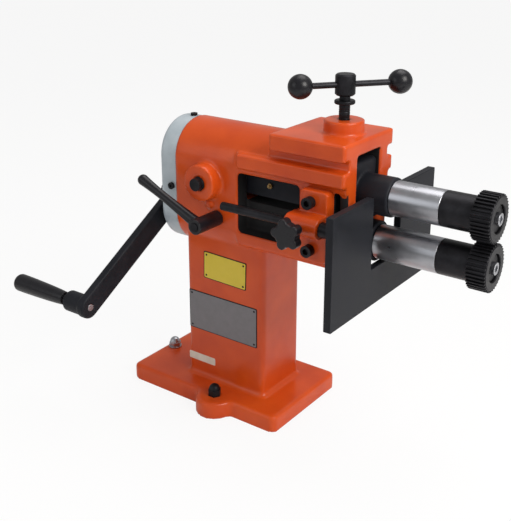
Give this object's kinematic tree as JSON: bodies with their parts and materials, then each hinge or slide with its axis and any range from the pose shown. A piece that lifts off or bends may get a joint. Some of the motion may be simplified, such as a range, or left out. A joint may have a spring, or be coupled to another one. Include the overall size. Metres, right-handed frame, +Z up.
{
  "type": "bench crimping machine",
  "caption": "Hand cranked bench machine: two geared parallel shafts with toothed crimping rolls, screw-down upper shaft, sliding fence plate and cast pedestal.",
  "frame": {"origin": "centre of the base underside", "axes": "+X along the shafts towards the rolls, +Z up, +Y away from the clamp lever side"},
  "size_m": [0.6546, 0.3469, 0.5067],
  "materials": {
    "orange_paint": "gloss orange paint on cast iron",
    "cover_paint": "light grey-blue paint",
    "black_paint": "satin black paint",
    "black_steel": "black oxide",
    "bright_steel": "turned bright",
    "bronze": "machined",
    "black_plastic": "moulded black"
  },
  "bodies": {
    "frame": {"frame_casting": "orange_paint", "gear_cover": "cover_paint", "gear_cover_screws": "black_steel", "pivot_bolts": "black_steel", "near_rod_bracket": "orange_paint", "far_rod_bracket": "orange_paint", "bracket_screws": "black_steel", "lower_front_bush": "bronze", "lower_nose_cap": "black_paint", "lift_springs": "bright_steel", "lug_cap_nuts": "black_steel", "rear_washer": "bright_steel", "rear_cap_nut": "bright_steel"},
    "arm": {"swing_arm": "black_paint", "upper_rear_bush": "bronze", "upper_front_bush": "bronze", "arm_button": "bright_steel", "grease_nipple": "bronze"},
    "upper_train": {"upper_shaft": "bright_steel", "upper_gear": "bright_steel", "upper_gear_key": "bright_steel", "upper_gear_ring": "bright_steel", "upper_roll": "black_steel", "upper_roll_key": "bright_steel", "upper_end_washer": "bright_steel", "upper_end_screw": "bright_steel"},
    "quill": {"lower_quill": "bright_steel"},
    "lower_train": {"lower_shaft": "bright_steel", "lower_gear": "bright_steel", "lower_gear_key": "bright_steel", "lower_roll": "black_steel", "lower_roll_key": "bright_steel", "lower_end_washer": "bright_steel", "lower_end_screw": "bright_steel", "crank_spacer": "bright_steel", "crank_arm": "black_paint", "crank_key": "bright_steel", "crank_washer": "bright_steel", "crank_screw": "bright_steel", "handle_spindle": "bright_steel"},
    "grip": {"handle_grip": "black_plastic"},
    "foot": {"thrust_foot": "black_steel"},
    "screw": {"pressure_screw": "black_steel", "screw_lock_ring": "black_steel"},
    "tee": {"tee_bar": "black_steel", "ball_knobs": "black_plastic"},
    "fence": {"fence_plate": "black_paint", "guide_rods": "black_steel"},
    "near_knob": {"near_star_knob": "black_plastic", "near_knob_stud": "black_steel"},
    "far_knob": {"far_star_knob": "black_plastic", "far_knob_stud": "black_steel"},
    "clamp": {"clamp_lever": "black_plastic", "clamp_stud": "black_steel", "clamp_pad": "bronze"}
  },
  "joints": [
    {"name": "quill_shift", "type": "slide", "parent": "frame", "child": "quill", "axis": [1, 0, 0], "range_m": [-0.0015, 0.0015]},
    {"name": "crank_turn", "type": "hinge", "parent": "quill", "child": "lower_train", "pos_m": [0, 0, 0.2915], "axis": [1, 0, 0], "continuous": true},
    {"name": "grip_spin", "type": "hinge", "parent": "lower_train", "child": "grip", "pos_m": [-0.151, -0.19543, 0.17407], "axis": [1, 0, 0], "continuous": true},
    {"name": "arm_tilt", "type": "hinge", "parent": "frame", "child": "arm", "pos_m": [-0.001, 0, 0.343], "axis": [0, -1, 0], "range_deg": [0, 1.25], "deforming": ["lift_springs"]},
    {"name": "upper_spin", "type": "hinge", "parent": "arm", "child": "upper_train", "pos_m": [0, 0, 0.3545], "axis": [1, 0, 0], "continuous": true},
    {"name": "foot_feed", "type": "slide", "parent": "frame", "child": "foot", "axis": [0, 0, 1], "range_m": [0, 0.0041]},
    {"name": "screw_turn", "type": "hinge", "parent": "foot", "child": "screw", "pos_m": [0.1844, 0, 0.4033], "axis": [0, 0, 1], "range_deg": [0, 720]},
    {"name": "tee_slide", "type": "slide", "parent": "screw", "child": "tee", "axis": [0.6211, 0.7837, 0], "range_m": [-0.0459, 0.0307]},
    {"name": "fence_slide", "type": "slide", "parent": "frame", "child": "fence", "axis": [1, 0, 0], "range_m": [0, 0.08]},
    {"name": "near_knob_turn", "type": "hinge", "parent": "frame", "child": "near_knob", "pos_m": [0.1785, -0.104, 0.322], "axis": [0, -1, 0], "range_deg": [0, 180]},
    {"name": "far_knob_turn", "type": "hinge", "parent": "frame", "child": "far_knob", "pos_m": [0.1785, 0.104, 0.322], "axis": [0, 1, 0], "range_deg": [0, 180]},
    {"name": "clamp_turn", "type": "hinge", "parent": "frame", "child": "clamp", "pos_m": [0.016, 0, 0.2915], "axis": [0, 1, 0], "range_deg": [0, 70]}
  ],
  "couplings": [
    {"joint": "upper_spin", "follows": "crank_turn", "ratio": -1},
    {"joint": "foot_feed", "follows": "screw_turn", "m_per_rad": 0.00031831},
    {"joint": "arm_tilt", "follows": "screw_turn", "ratio": 0.0017169}
  ]
}
